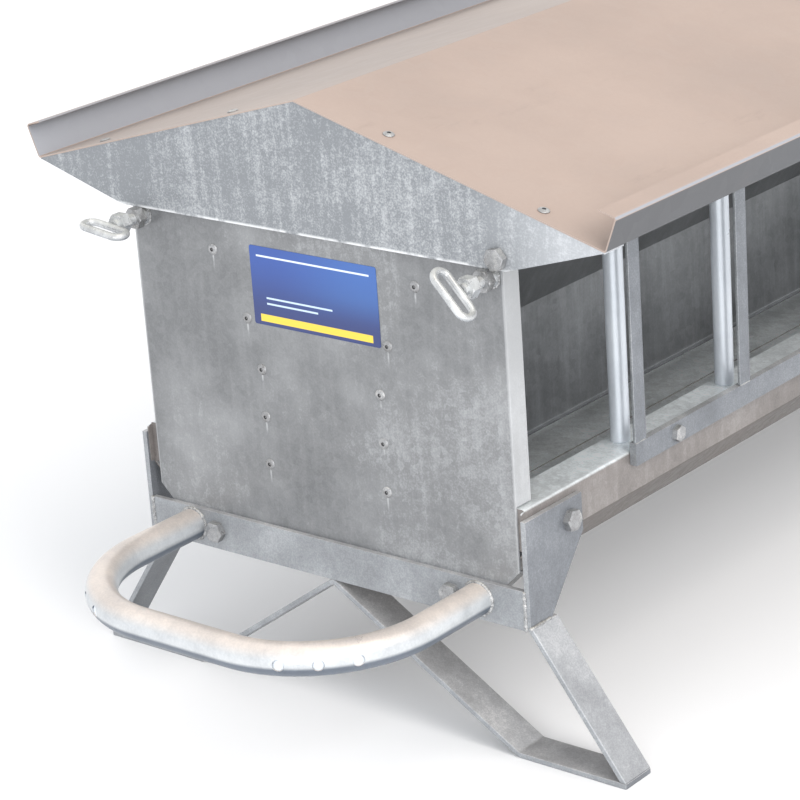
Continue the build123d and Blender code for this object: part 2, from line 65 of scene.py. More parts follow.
ends = {"near": -1, "far": 1}
sides = {"right": 1, "left": -1}
print("frame loaded,", len(nodes), "CAD nodes")

# the view, and soft studio light over a white floor
cameraView = {
    "place": (1.553, -2.5295, 1.1243), "lens": 132.67, "sensor": 36.0, "reach": 100.0,
    "azimuth": 40.43, "elevation": 20.11, "roll": -4.08,
}
studio = {
    "floorSize": 24.0, "floorTone": (0.97, 0.97, 0.97), "floorRough": 0.9,
    "worldTone": (0.96, 0.975, 1.0), "worldStrength": 1.12,
    "keyPlace": (1.9, -0.9, 4.2), "keySize": 2.6, "keyPower": 26.0, "keyTone": (1.0, 0.86, 0.74),
    "frontPlace": (2.3, -4.6, 1.0), "frontSize": 2.6, "frontPower": 62.0, "frontTone": (0.95, 0.98, 1.0),
    "sidePlace": (3.4, -1.5, 2.7), "sideSize": 2.2, "sidePower": 62.0, "sideTone": (1.0, 0.985, 0.97),
    "aim": (0.1, -0.5, 0.3),
}


def makeCamera(view):
    azimuth, elevation, roll = (math.radians(view[k]) for k in ("azimuth", "elevation", "roll"))
    back = Vector((math.sin(azimuth) * math.cos(elevation), -math.cos(azimuth) * math.cos(elevation),
                   math.sin(elevation)))
    right = (-back).cross(Vector((0, 0, 1))).normalized()
    up = right.cross(-back)
    rolledRight = right * math.cos(roll) + up * math.sin(roll)
    rolledUp = up * math.cos(roll) - right * math.sin(roll)
    turn = Matrix((rolledRight, rolledUp, back)).transposed().to_4x4()
    data = bpy.data.cameras.new("camera")
    data.lens = view["lens"]
    data.sensor_width = view["sensor"]
    data.clip_end = view["reach"]
    camera = bpy.data.objects.new("camera", data)
    camera.matrix_world = Matrix.Translation(view["place"]) @ turn
    scene.collection.objects.link(camera)
    scene.camera = camera


def areaLight(name, place, size, power, tone):
    data = bpy.data.lights.new(name, "AREA")
    data.shape = "DISK"
    data.size = size
    data.energy = power
    data.color = tone
    light = bpy.data.objects.new(name, data)
    light.location = place
    light.rotation_euler = (Vector(place) - Vector(studio["aim"])).to_track_quat("Z", "Y").to_euler()
    scene.collection.objects.link(light)


makeCamera(cameraView)
for light in ("key", "front", "side"):
    areaLight(light + "Light", *(studio[light + k] for k in ("Place", "Size", "Power", "Tone")))
world = bpy.data.worlds.new("studio")
world.use_nodes = True
background = world.node_tree.nodes["Background"]
background.inputs["Color"].default_value = (*studio["worldTone"], 1)
background.inputs["Strength"].default_value = studio["worldStrength"]
scene.world = world
scene.view_settings.view_transform = "Standard"
print("camera and lights set")


# node trees written as expressions
class Sock:
    def __init__(self, graph, socket):
        self.graph = graph
        self.socket = socket

    def maths(self, operation, *others):
        values = dict(enumerate((self,) + others))
        return self.graph.add("ShaderNodeMath", {"operation": operation}, values)

    def __add__(self, other):
        return self.maths("ADD", other)

    def __radd__(self, other):
        return self.maths("ADD", other)

    def __sub__(self, other):
        return self.maths("SUBTRACT", other)

    def __rsub__(self, other):
        return self.graph.add("ShaderNodeMath", {"operation": "SUBTRACT"}, {0: other, 1: self})

    def __mul__(self, other):
        return self.maths("MULTIPLY", other)

    def __rmul__(self, other):
        return self.maths("MULTIPLY", other)

    def out(self, name):
        return Sock(self.graph, self.socket.node.outputs[name])


class Graph:
    def __init__(self, tree):
        self.tree = tree

    def add(self, kind, settings=None, inputs=None, output=0):
        node = self.tree.nodes.new(kind)
        for key, value in (settings or {}).items():
            if key == "stops":
                ramp = node.color_ramp.elements
                while len(ramp) < len(value):
                    ramp.new(0.5)
                for stop, (place, tone) in zip(ramp, value):
                    stop.position = place
                    stop.color = (*tone, 1)
            else:
                setattr(node, key, value)
        for key, value in (inputs or {}).items():
            self.feed(node.inputs[key], value)
        return Sock(self, node.outputs[output]) if node.outputs else node

    def feed(self, socket, value):
        if isinstance(value, Sock):
            self.tree.links.new(value.socket, socket)
        else:
            socket.default_value = (*value, 1) if socket.type == "RGBA" and len(value) == 3 else value

    def blend(self, factor, first, second, mode="MIX"):
        return self.add("ShaderNodeMix", {"data_type": "RGBA", "blend_type": mode},
                        {0: factor, 6: first, 7: second}, 2)

    def tinted(self, factor, tone, tint):
        # the tone times a tint, as far as the factor says
        return self.blend(factor, tone, self.blend(1.0, tone, tint, "MULTIPLY"))

    def ramp(self, value, low, high):
        return self.add("ShaderNodeMapRange", {"interpolation_type": "SMOOTHSTEP"},
                        {"Value": value, 1: low, 2: high})

    def noise(self, place, scale, detail=3.0, rough=0.55):
        return self.add("ShaderNodeTexNoise", {}, {"Vector": place, "Scale": scale, "Detail": detail,
                                                   "Roughness": rough})

    def stretch(self, place, scale):
        return self.add("ShaderNodeMapping", {}, {"Vector": place, "Scale": scale})

    def along(self, vector, letter):
        # one coordinate of a vector
        return self.add("ShaderNodeSeparateXYZ", {}, {"Vector": vector}, letter)


# zinc finishes: tones, crystal and speckle sizes, and painted light and shade as tints: painted light on faces
# that look up, painted shade on faces that look down or sideways
zincLooks = {
    "sheet": {"tone": (0.245, 0.25, 0.256), "dark": (0.175, 0.18, 0.186), "light": (0.41, 0.42, 0.43),
              "flake": 170.0, "flakeDepth": 0.30, "speckle": 620.0, "speckleDepth": 0.28, "drift": 7.0,
              "streak": 0.28, "metal": 0.35, "rough": 0.42, "bump": 0.08,
              "up": (1.15, 1.08, 1.0), "down": (0.8, 0.8, 0.8)},
    "gable": {"tone": (0.33, 0.345, 0.362), "dark": (0.24, 0.254, 0.27), "light": (0.47, 0.485, 0.50),
              "flake": 260.0, "flakeDepth": 0.6, "speckle": 640.0, "speckleDepth": 0.9, "drift": 9.0,
              "streak": 0.9, "metal": 0.35, "rough": 0.42, "bump": 0.10,
              "up": (1.3, 1.2, 1.1), "down": (1.0, 1.0, 1.0)},
    # the roof's warm tone is a painted reflection of warm surroundings on the grey zinc, and its downward faces
    # get a cool painted shade
    "roof": {"tone": (0.45, 0.36, 0.312), "dark": (0.40, 0.32, 0.278), "light": (0.50, 0.405, 0.352),
             "flake": 60.0, "flakeDepth": 0.10, "speckle": 300.0, "speckleDepth": 0.10, "drift": 4.0,
             "streak": 0.0, "metal": 0.30, "rough": 0.62, "bump": 0.03,
             "up": (1.02, 1.0, 0.98), "down": (0.29, 0.37, 0.45)},
    "inside": {"tone": (0.215, 0.222, 0.228), "dark": (0.14, 0.146, 0.15), "light": (0.30, 0.31, 0.32),
               "flake": 150.0, "flakeDepth": 0.3, "speckle": 500.0, "speckleDepth": 0.2, "drift": 6.0,
               "streak": 0.4, "metal": 0.35, "rough": 0.42, "bump": 0.08,
               "up": (1.5, 1.5, 1.5), "down": (0.7, 0.7, 0.7)},
    # the pan's upward faces get a strong painted light, standing in for light that reaches under the eave, and
    # its downward faces a painted shade
    "pan": {"tone": (0.235, 0.215, 0.205), "dark": (0.17, 0.155, 0.148), "light": (0.32, 0.30, 0.29),
            "flake": 160.0, "flakeDepth": 0.35, "speckle": 560.0, "speckleDepth": 0.3, "drift": 8.0,
            "streak": 0.35, "metal": 0.30, "rough": 0.40, "bump": 0.08,
            "up": (3.7, 4.2, 4.4), "down": (0.50, 0.47, 0.45)},
    # the bars' tops get painted light, and their faces turned along X a painted shade
    "bar": {"tone": (0.33, 0.345, 0.362), "dark": (0.25, 0.26, 0.274), "light": (0.47, 0.485, 0.50),
            "flake": 210.0, "flakeDepth": 0.25, "speckle": 700.0, "speckleDepth": 0.45, "drift": 16.0,
            "streak": 0.2, "metal": 0.35, "rough": 0.40, "bump": 0.14,
            "up": (1.6, 1.52, 1.45), "down": (0.85, 0.85, 0.85), "side": (0.62, 0.63, 0.655)},
    "round": {"tone": (0.74, 0.78, 0.83), "dark": (0.64, 0.68, 0.73), "light": (0.82, 0.85, 0.88),
              "flake": 90.0, "flakeDepth": 0.10, "speckle": 300.0, "speckleDepth": 0.12, "drift": 12.0,
              "streak": 0.2, "metal": 0.35, "rough": 0.36, "bump": 0.04,
              "up": (1.0, 1.0, 1.0), "down": (1.0, 1.0, 1.0)},
    # the tube's top gets a warm painted sheen and its underside a painted shade
    "tube": {"tone": (0.60, 0.62, 0.635), "dark": (0.47, 0.49, 0.51), "light": (0.72, 0.74, 0.75),
             "flake": 120.0, "flakeDepth": 0.12, "speckle": 500.0, "speckleDepth": 0.25, "drift": 22.0,
             "streak": 0.0, "metal": 0.40, "rough": 0.36, "bump": 0.07,
             "up": (1.22, 1.06, 0.94), "down": (0.24, 0.27, 0.32)},
    "fastener": {"tone": (0.37, 0.375, 0.385), "dark": (0.24, 0.235, 0.23), "light": (0.62, 0.61, 0.59),
                 "flake": 500.0, "flakeDepth": 0.3, "speckle": 1500.0, "speckleDepth": 0.5, "drift": 60.0,
                 "streak": 0.0, "metal": 0.60, "rough": 0.34, "bump": 0.06,
                 "up": (1.12, 1.1, 1.05), "down": (0.8, 0.8, 0.8)},
    "screw": {"tone": (0.56, 0.57, 0.575), "dark": (0.38, 0.385, 0.39), "light": (0.76, 0.77, 0.77),
              "flake": 300.0, "flakeDepth": 0.2, "speckle": 1200.0, "speckleDepth": 0.2, "drift": 50.0,
              "streak": 0.0, "metal": 0.50, "rough": 0.30, "bump": 0.05,
              "up": (1.12, 1.1, 1.04), "down": (0.75, 0.77, 0.8)},
    "weld": {"tone": (0.42, 0.425, 0.43), "dark": (0.22, 0.22, 0.22), "light": (0.66, 0.66, 0.65),
             "flake": 420.0, "flakeDepth": 0.4, "speckle": 900.0, "speckleDepth": 0.7, "drift": 90.0,
             "streak": 0.0, "metal": 0.45, "rough": 0.38, "bump": 0.3,
             "up": (1.15, 1.1, 1.0), "down": (0.85, 0.85, 0.85)},
}


def newMaterial(name):
    material = bpy.data.materials.new(name)
    material.use_nodes = True
    material.node_tree.nodes.clear()
    return material, Graph(material.node_tree)


def finishMaterial(graph, colour, rough, metal, height=None, bump=0.1, coat=0.0):
    inputs = {"Base Color": colour, "Roughness": rough, "Metallic": metal, "Coat Weight": coat}
    if height is not None:
        relief = {"Height": height, "Strength": bump, "Distance": 1 * mm}
        inputs["Normal"] = graph.add("ShaderNodeBump", {}, relief)
    shader = graph.add("ShaderNodeBsdfPrincipled", {}, inputs)
    graph.add("ShaderNodeOutputMaterial", {}, {"Surface": shader})


# how crystals, speckle, slow drift and runs down the sheet share in the tone and the roughness
zincMix = {
    "speckle": (0.35, 0.7), "drift": (0.3, 0.72), "runs": (0.4, 0.75), "runStretch": (130, 130, 9),
    "crystalShare": 0.6, "driftShare": 0.5, "runShare": 0.5, "stops": (0.1, 0.5, 0.92),
    "crystalRough": 0.10, "driftRough": 0.08,
}
# how far a face's normal points up, down or sideways where each tint of painted light (up) and painted shade
# (down, sideways) begins and is full
paintedLightShadeTurns = {"up": (0.25, 0.92), "down": (-0.06, -0.34), "side": (0.7, 0.95)}


def zincPattern(graph, place, look):
    flake = graph.add("ShaderNodeTexVoronoi", {}, {"Vector": place, "Scale": look["flake"]}, "Color")
    flakeTone = graph.add("ShaderNodeSeparateColor", {}, {"Color": flake})
    speckle = graph.ramp(graph.noise(place, look["speckle"], 2.0), *zincMix["speckle"])
    drift = graph.ramp(graph.noise(place, look["drift"], 5.0, 0.6), *zincMix["drift"])
    fall = graph.stretch(place, zincMix["runStretch"])
    runs = graph.ramp(graph.noise(fall, 1.0, 4.0, 0.6), *zincMix["runs"])
    crystals = (flakeTone - 0.5) * look["flakeDepth"] + (speckle - 0.5) * look["speckleDepth"]
    value = 0.5 + crystals * zincMix["crystalShare"] + (drift - 0.5) * zincMix["driftShare"]
    value = value + (runs - 0.5) * (look["streak"] * zincMix["runShare"])
    stops = list(zip(zincMix["stops"], (look["dark"], look["tone"], look["light"])))
    tone = graph.add("ShaderNodeValToRGB", {"stops": stops}, {"Fac": value})
    rough = look["rough"] + (flakeTone - 0.5) * zincMix["crystalRough"] + (drift - 0.5) * zincMix["driftRough"]
    return tone, rough, crystals


def zinc(name, look, extra=None):
    material, graph = newMaterial(name)
    place = graph.add("ShaderNodeTexCoord", {}, {}, "Object")
    tone, rough, height = zincPattern(graph, place, look)
    # painted light on faces that look up, painted shade on faces that look down and, where a look has it, on
    # faces turned along X
    facing = graph.along(place.out("Normal"), "Z")
    tone = graph.tinted(graph.ramp(facing, *paintedLightShadeTurns["up"]), tone, look["up"])
    tone = graph.tinted(graph.ramp(facing, *paintedLightShadeTurns["down"]), tone, look["down"])
    if "side" in look:
        across = graph.along(place.out("Normal"), "X").maths("ABSOLUTE")
        tone = graph.tinted(graph.ramp(across, *paintedLightShadeTurns["side"]), tone, look["side"])
    if extra:
        tone, rough = extra(graph, place, tone, rough)
    finishMaterial(graph, tone, rough, look["metal"], height, look["bump"])
    return material


# where the zinc ran from under the panel rivets, soft clouds, and a painted highlight along the side bends
panelRunsAndHighlight = {
    "rivetX": [65.0, 65.0, 65.0, 76.8, 109.8], "rivetZ": [210.2, 253.5, 296.5, 340.8, 397.0],
    "length": 20.0, "width": 1.5, "fadeLow": 14.0, "fadeHigh": 3.0, "strength": 0.7, "tone": (0.60, 0.61, 0.62),
    "breakScale": 90.0, "breaks": (0.35, 0.6), "cloudScale": 11.0, "clouds": (0.45, 0.75), "cloudStrength": 0.22,
    "bendHighlightLine": (0.1972, 0.1992), "bendHighlightStrength": 0.5,
}


def runsAndBendHighlight(graph, place, tone, rough):
    across, z = graph.along(place, "X").maths("ABSOLUTE"), graph.along(place, "Z")
    total = 0.0
    for rivetX, rivetZ in zip(panelRunsAndHighlight["rivetX"], panelRunsAndHighlight["rivetZ"]):
        offset = (across - rivetX * mm).maths("ABSOLUTE")
        column = graph.ramp(offset, panelRunsAndHighlight["width"] * mm, 0.0)
        low = (rivetZ - panelRunsAndHighlight["length"]) * mm
        fall = graph.ramp(z, low, low + panelRunsAndHighlight["fadeLow"] * mm)
        fall = fall * graph.ramp(z, rivetZ * mm, (rivetZ - panelRunsAndHighlight["fadeHigh"]) * mm)
        total = column * fall + total
    breaks = graph.ramp(graph.noise(place, panelRunsAndHighlight["breakScale"]), *panelRunsAndHighlight["breaks"])
    clouds = graph.ramp(graph.noise(place, panelRunsAndHighlight["cloudScale"], 2.0), *panelRunsAndHighlight["clouds"])
    # painted highlight: a light line along each side bend
    bend = graph.ramp(across, *panelRunsAndHighlight["bendHighlightLine"])
    tone = graph.blend(clouds * panelRunsAndHighlight["cloudStrength"], tone, panelRunsAndHighlight["tone"])
    tone = graph.blend(bend * panelRunsAndHighlight["bendHighlightStrength"], tone, panelRunsAndHighlight["tone"])
    return graph.blend(total * breaks * panelRunsAndHighlight["strength"], tone, panelRunsAndHighlight["tone"]), rough


# the left slope gets a cooler painted light, the steep upstands are painted a cool grey instead of the slopes'
# warm painted reflection, and handling has left faint marks
roofLightAndWear = {
    "leftTurn": (0.05, -0.2), "leftCoolLight": (0.97, 1.06, 1.12),
    "stainStretch": (30, 9, 30), "stains": (0.60, 0.72), "stainStrength": 0.16, "stainTone": (0.26, 0.20, 0.17),
    "steepTurn": (0.5, 0.85), "notBelow": (-0.06, 0.1), "plainZincTone": (0.37, 0.38, 0.41),
}


def roofSides(graph, place, tone, rough):
    across, upward = (graph.along(place.out("Normal"), letter) for letter in "XZ")
    steep = graph.ramp(across.maths("ABSOLUTE"), *roofLightAndWear["steepTurn"])
    steep = steep * graph.ramp(upward, *roofLightAndWear["notBelow"])
    # painted light: a cooler tint on the left slope
    tone = graph.tinted(graph.ramp(across, *roofLightAndWear["leftTurn"]), tone, roofLightAndWear["leftCoolLight"])
    marks = graph.noise(graph.stretch(place, roofLightAndWear["stainStretch"]), 1.0, 6.0, 0.7)
    stains = graph.ramp(marks, *roofLightAndWear["stains"]) * roofLightAndWear["stainStrength"]
    tone = graph.blend(stains, tone, roofLightAndWear["stainTone"])
    # the steep upstands lose the slopes' warm painted reflection and take a cool grey
    return graph.blend(steep, tone, roofLightAndWear["plainZincTone"]), rough


# lighter along the gable plate's lower edge and towards its hinge end
gableLighterZones = {
    "hingeEnd": (0.16, 0.29), "hingeStrength": 0.45, "hingeTone": (0.72, 0.74, 0.77),
    "lowerEdge": (0.4285, 0.4262), "patchScale": 60.0, "patches": (0.3, 0.55), "lowerStrength": 0.8,
    "lowerTone": (0.86, 0.87, 0.88),
}


def gableEdge(graph, place, tone, rough):
    x, z = graph.along(place, "X"), graph.along(place, "Z")
    patches = graph.ramp(graph.noise(place, gableLighterZones["patchScale"]), *gableLighterZones["patches"])
    lower = graph.ramp(z, *gableLighterZones["lowerEdge"]) * patches
    hinge = graph.ramp(x, *gableLighterZones["hingeEnd"]) * gableLighterZones["hingeStrength"]
    tone = graph.blend(hinge, tone, gableLighterZones["hingeTone"])
    return graph.blend(lower * gableLighterZones["lowerStrength"], tone, gableLighterZones["lowerTone"]), rough


# painted shade in the groove round the broken pin in the middle of a blind rivet, lighter on the pin's end, in
# shares of the flange's radius
pinGrooveShade = {"pin": (0.42, 0.30), "core": (0.22, 0.12), "coreShare": 0.75, "tone": (0.11, 0.11, 0.112)}


def pinGrooveShading(graph, place, tone, rough):
    hub = graph.add("ShaderNodeAttribute", {"attribute_name": "hub"}, {}, "Fac")
    # painted shade: dark in the groove round the pin, less on the pin's own end
    pin = graph.ramp(hub, *pinGrooveShade["pin"]) - graph.ramp(hub, *pinGrooveShade["core"]) * pinGrooveShade["coreShare"]
    return graph.blend(pin, tone, pinGrooveShade["tone"]), rough


# the label: a plain blue film with a yellow bar and thin pale rules, each as low, high, start, stop and ink
labelLook = {
    "corner": 2.0, "cornerSteps": 6, "proud": 0.38, "rough": 0.28, "coat": 0.5, "inkEdge": 0.0004,
    "blueRise": (0.345, 0.402), "lowBlue": (0.012, 0.03, 0.15), "highBlue": (0.02, 0.075, 0.33),
    "glowAcross": (-0.05, 0.06), "glowRise": (0.35, 0.38), "glowStrength": 0.3, "glowTone": (0.06, 0.22, 0.55),
    "bars": [
        (0.3415, 0.3475, -0.060, 0.062, (0.86, 0.60, 0.05)),
        (0.3985, 0.3997, -0.060, 0.062, (0.72, 0.80, 0.88)),
        (0.3620, 0.3632, -0.052, 0.020, (0.55, 0.68, 0.82)),
        (0.3570, 0.3582, -0.052, 0.004, (0.55, 0.68, 0.82)),
    ],
}


def printedFilm(graph, place):
    x, z = graph.along(place, "X"), graph.along(place, "Z")
    blue = graph.blend(graph.ramp(z, *labelLook["blueRise"]), labelLook["lowBlue"], labelLook["highBlue"])
    glow = graph.ramp(x, *labelLook["glowAcross"]) * graph.ramp(z, *labelLook["glowRise"])
    tone = graph.blend(glow * labelLook["glowStrength"], blue, labelLook["glowTone"])
    edge = labelLook["inkEdge"]
    for low, high, start, stop, ink in labelLook["bars"]:
        inside = graph.ramp(z, low - edge, low) * graph.ramp(z, high + edge, high)
        inside = inside * graph.ramp(x, start - edge, start) * graph.ramp(x, stop + edge, stop)
        tone = graph.blend(inside, tone, ink)
    return tone


panelSheet = zinc("panelSheet", zincLooks["sheet"], runsAndBendHighlight)
strapSheet = zinc("strapSheet", zincLooks["sheet"])
panSheet = zinc("panSheet", zincLooks["pan"])
gableSheet = zinc("gableSheet", zincLooks["gable"], gableEdge)
roofSheet = zinc("roofSheet", zincLooks["roof"], roofSides)
insideSheet = zinc("insideSheet", zincLooks["inside"])
galvanisedBar = zinc("galvanisedBar", zincLooks["bar"])
roundBar = zinc("roundBar", zincLooks["round"])
galvanisedTube = zinc("galvanisedTube", zincLooks["tube"])
zincFastener = zinc("zincFastener", zincLooks["fastener"])
zincRivet = zinc("zincRivet", zincLooks["fastener"], pinGrooveShading)
zincScrew = zinc("zincScrew", zincLooks["screw"])
weldMetal = zinc("weldMetal", zincLooks["weld"])
labelFilm, labelGraph = newMaterial("labelFilm")
labelPlace = labelGraph.add("ShaderNodeTexCoord", {}, {}, "Object")
finishMaterial(labelGraph, printedFilm(labelGraph, labelPlace), labelLook["rough"], 0.0, coat=labelLook["coat"])
print("finishes made")


# helpers for pieces
def bodyOf(node):
    return nodes[node]["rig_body"]


def newPiece(name, mesh, material, body, replaced=()):
    piece = bpy.data.objects.new(name, mesh)
    scene.collection.objects.link(piece)
    mesh.materials.clear()
    mesh.materials.append(material)
    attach(piece, body)
    if replaced:
        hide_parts(*replaced)
    return piece


def bakeModifiers(holder):
    bpy.context.view_layer.update()
    evaluated = holder.evaluated_get(bpy.context.evaluated_depsgraph_get())
    mesh = bpy.data.meshes.new_from_object(evaluated)
    bpy.data.objects.remove(holder)
    return mesh


# distance at which loose triangles join, and angles: faces that merge, corners that are eased, sharp shading
easing = {"join": 2e-6, "flat": 0.5, "corner": 40, "shade": 50, "bendSteps": 5, "weight": 90}


def mergedCopy(node):
    form = bmesh.new()
    form.from_mesh(nodes[node].data)
    bmesh.ops.remove_doubles(form, verts=form.verts, dist=easing["join"])
    return form


def islands(node):
    # the box of each separate solid in a node, in a fixed order, so that random turns repeat
    form = mergedCopy(node)
    left = set(form.verts)
    boxes = []
    while left:
        heap = [left.pop()]
        found = []
        while heap:
            vert = heap.pop()
            found.append(vert.co.copy())
            for edge in vert.link_edges:
                other = edge.other_vert(vert)
                if other in left:
                    left.remove(other)
                    heap.append(other)
        low = Vector([min(co[i] for co in found) for i in range(3)])
        high = Vector([max(co[i] for co in found) for i in range(3)])
        boxes.append((low, high))
    form.free()
    return sorted(boxes, key=lambda box: (*box[0], *box[1]))


def roundEdges(form, edges, size, steps):
    bmesh.ops.bevel(form, geom=edges, offset=size, segments=steps, profile=0.5, affect="EDGES",
                    clamp_overlap=True)


def softEdges(node, material, size, steps=2, bends=None, bendRadius=0.0):
    # a copy of a CAD node whose corners are eased, so that they catch the light
    form = mergedCopy(node)
    bmesh.ops.dissolve_limit(form, angle_limit=math.radians(easing["flat"]), verts=form.verts, edges=form.edges)
    if bends:
        chosen = [e for e in form.edges if len(e.link_faces) == 2 and bends(e)]
        roundEdges(form, chosen, bendRadius, easing["bendSteps"])
    corner = math.radians(easing["corner"])
    sharp = [e for e in form.edges if len(e.link_faces) == 2 and e.calc_face_angle() > corner]
    roundEdges(form, sharp, size, steps)
    mesh = bpy.data.meshes.new(node + ".eased")
    form.to_mesh(mesh)
    form.free()
    mesh.shade_smooth()
    mesh.set_sharp_from_angle(angle=math.radians(easing["shade"]))
    holder = bpy.data.objects.new("holder", mesh)
    scene.collection.objects.link(holder)
    weighted = holder.modifiers.new("weighted", "WEIGHTED_NORMAL")
    weighted.keep_sharp = True
    weighted.weight = easing["weight"]
    return newPiece(node + ".eased", bakeModifiers(holder), material, bodyOf(node), [node])


def dress(material, *names):
    for name in names:
        nodes[name].data.materials.clear()
        nodes[name].data.materials.append(material)


# CAD nodes that keep their shape
dress(roofSheet, "roof_sheet")
dress(panSheet, "trough_pan", "feed_deflector")
dress(strapSheet, "hopper_tie_straps")
dress(insideSheet, *["hopper_wall_" + s for s in sides])
dress(galvanisedBar, *["guide_rail_" + s for s in sides])
dress(roundBar, *["upright_bars_" + s for s in sides])
dress(galvanisedTube, *["handle_" + e for e in ends])
dress(zincFastener, "frame_nuts", "hinge_spacers", "screw_lock_nuts", *["comb_guide_nuts_" + s for s in sides])
for kind in ("hand_screw", "screw_ring"):
    dress(zincScrew, *[f"{kind}_{e}_{s}" for e in ends for s in sides])
dress(zincScrew, "weld_bosses")
print("CAD nodes dressed")

# flat bars, combs and end plates with eased corners
edgeSize = {"frame": 0.9, "comb": 0.7, "strip": 0.4, "panel": 0.25, "gable": 0.3}
for end in ends:
    for node in ("crossbar_", "leg_bar_", "outer_struts_"):
        softEdges(node + end, galvanisedBar, edgeSize["frame"] * mm)
    for side in sides:
        softEdges(f"side_bracket_{end}_{side}", galvanisedBar, edgeSize["frame"] * mm)
for side in sides:
    softEdges("comb_bars_" + side, galvanisedBar, edgeSize["comb"] * mm)
    for node in ("comb_lower_rail_", "comb_backing_strip_", "comb_upper_rail_"):
        softEdges(node + side, galvanisedBar, edgeSize["strip"] * mm)

# the end panel turns back at its sides, in a bend that is found by its place, height and angle
panelBend = {"sideX": 200.0, "faceY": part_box("end_panel_far")[1].y, "radius": 1.3, "near": 0.05, "upright": 0.1,
             "leastHeight": 20.0, "leastAngle": 1.0}


def onPanelBend(edge):
    first, second = (vert.co for vert in edge.verts)
    upright = abs(first.x - second.x) < panelBend["upright"] * mm
    tall = abs(first.z - second.z) > panelBend["leastHeight"] * mm
    atSide = abs(abs(first.x) - panelBend["sideX"] * mm) < panelBend["near"] * mm
    atFace = abs(abs(first.y) - panelBend["faceY"]) < panelBend["near"] * mm
    return upright and tall and atSide and atFace and edge.calc_face_angle() > panelBend["leastAngle"]


for end in ends:
    softEdges("end_panel_" + end, panelSheet, edgeSize["panel"] * mm, 1,
              onPanelBend, panelBend["radius"] * mm)
    softEdges("gable_plate_" + end, gableSheet, edgeSize["gable"] * mm, 1)
print("bars and plates eased")


# geometry nodes: one tree sets a form on every seat, one lays a bead along a path
def newTree(name, inputs):
    tree = bpy.data.node_groups.new(name, "GeometryNodeTree")
    tree.interface.new_socket("Geometry", in_out="INPUT", socket_type="NodeSocketGeometry")
    for label, kind in inputs:
        tree.interface.new_socket(label, in_out="INPUT", socket_type="NodeSocket" + kind)
    tree.interface.new_socket("Geometry", in_out="OUTPUT", socket_type="NodeSocketGeometry")
    graph = Graph(tree)
    return graph, graph.add("NodeGroupInput")


def closeTree(graph, start, geometry):
    real = graph.add("GeometryNodeRealizeInstances", {}, {"Geometry": geometry})
    done = graph.add("GeometryNodeSetMaterial", {}, {"Geometry": real, "Material": start.out("Finish")})
    graph.add("NodeGroupOutput", {}, {0: done})
    return graph.tree


def alongFacing(graph, facing):
    return graph.add("FunctionNodeAlignRotationToVector", {"axis": "Z"}, {"Vector": facing})


def seatTree():
    graph, start = newTree("formsOnSeats", [("Form", "Object"), ("Finish", "Material"), ("Size", "Float"),
                                            ("Turn", "Float"), ("Seed", "Int")])
    facing = graph.add("GeometryNodeInputNamedAttribute", {"data_type": "FLOAT_VECTOR"}, {"Name": "facing"})
    spin = graph.add("FunctionNodeRandomValue", {"data_type": "FLOAT"},
                     {"Min": 0.0, "Max": start.out("Turn"), "Seed": start.out("Seed")}, 1)
    twist = graph.add("FunctionNodeAxisAngleToRotation", {}, {"Axis": (0, 0, 1), "Angle": spin})
    turn = graph.add("FunctionNodeRotateRotation", {"rotation_space": "LOCAL"},
                     {"Rotation": alongFacing(graph, facing), "Rotate By": twist})
    form = graph.add("GeometryNodeObjectInfo", {"transform_space": "ORIGINAL"}, {"Object": start.out("Form")},
                     "Geometry")
    size = graph.add("ShaderNodeCombineXYZ", {}, {i: start.out("Size") for i in range(3)})
    placed = graph.add("GeometryNodeInstanceOnPoints", {},
                       {"Points": start, "Instance": form, "Rotation": turn, "Scale": size})
    return closeTree(graph, start, placed)


def beadTree():
    graph, start = newTree("weldBead", [("Finish", "Material"), ("Radius", "Float"), ("Step", "Float"),
                                        ("Flatness", "Float"), ("Least", "Float"), ("Most", "Float"),
                                        ("Seed", "Int")])
    line = graph.add("GeometryNodeMeshToCurve", {}, {"Mesh": start})
    steps = graph.add("GeometryNodeResampleCurve", {"mode": "LENGTH"},
                      {"Curve": line, "Length": start.out("Step")})
    blob = graph.add("GeometryNodeMeshIcoSphere", {}, {"Radius": start.out("Radius"), "Subdivisions": 2})
    grow = graph.add("FunctionNodeRandomValue", {"data_type": "FLOAT"},
                     {"Min": start.out("Least"), "Max": start.out("Most"), "Seed": start.out("Seed")}, 1)
    size = graph.add("ShaderNodeCombineXYZ", {}, {"X": grow, "Y": grow * start.out("Flatness"), "Z": grow})
    along = alongFacing(graph, graph.add("GeometryNodeInputTangent"))
    placed = graph.add("GeometryNodeInstanceOnPoints", {},
                       {"Points": steps, "Instance": blob, "Rotation": along, "Scale": size})
    smooth = graph.add("GeometryNodeSetShadeSmooth", {}, {"Geometry": placed})
    return closeTree(graph, start, smooth)


formsOnSeats = seatTree()
weldBead = beadTree()


def runTree(mesh, tree, values):
    holder = bpy.data.objects.new("holder", mesh)
    scene.collection.objects.link(holder)
    modifier = holder.modifiers.new("nodes", "NODES")
    modifier.node_group = tree
    for item in tree.interface.items_tree:
        if item.in_out == "INPUT" and item.name in values:
            modifier[item.identifier] = values[item.name]
    return bakeModifiers(holder)


def seatMesh(seats):
    mesh = bpy.data.meshes.new("seats")
    mesh.from_pydata([place for place, facing in seats], [], [])
    directions = mesh.attributes.new("facing", "FLOAT_VECTOR", "POINT")
    for item, (place, facing) in zip(directions.data, seats):
        item.vector = facing
    return mesh


